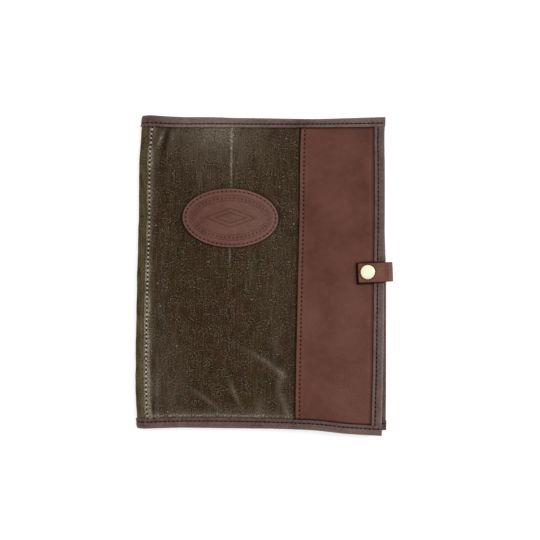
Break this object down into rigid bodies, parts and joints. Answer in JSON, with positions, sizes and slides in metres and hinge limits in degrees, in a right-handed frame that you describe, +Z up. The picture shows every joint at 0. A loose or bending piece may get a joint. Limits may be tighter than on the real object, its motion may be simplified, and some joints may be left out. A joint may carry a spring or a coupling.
{
  "type": "padfolio",
  "caption": "Closed letter-size padfolio: waxed-canvas covers folded round a soft spine, leather fore panel and oval patch, bound edges and a snap tab.",
  "frame": {"origin": "under the middle of the closed folio, on the surface that it lies on", "axes": "+X from the spine to the fore edge with the snap tab, +Y from the tail to the head of the cover, +Z up through the front cover"},
  "size_m": [0.2588, 0.3212, 0.0259],
  "materials": {
    "waxed_canvas": "dark brown cotton canvas, waxed, with pale creases and scuffs",
    "panel_leather": "red-brown pull-up cowhide, mottled, low sheen",
    "patch_leather": "brown cowhide, smooth, with a pressed oval line",
    "binding_leather": "thin folded leather tape, purple-brown, greyish sheen",
    "tab_leather": "red-brown strap leather, cut edges",
    "snap_brass": "pale polished brass"
  },
  "bodies": {
    "root": {"front_canvas": "waxed_canvas", "back_canvas": "waxed_canvas", "leather_panel": "panel_leather", "oval_patch": "patch_leather", "binding_head": "binding_leather", "binding_tail": "binding_leather", "binding_fore_front": "binding_leather", "binding_fore_back": "binding_leather", "snap_tab": "tab_leather", "snap_cap": "snap_brass", "snap_stud": "snap_brass"}
  },
  "joints": []
}
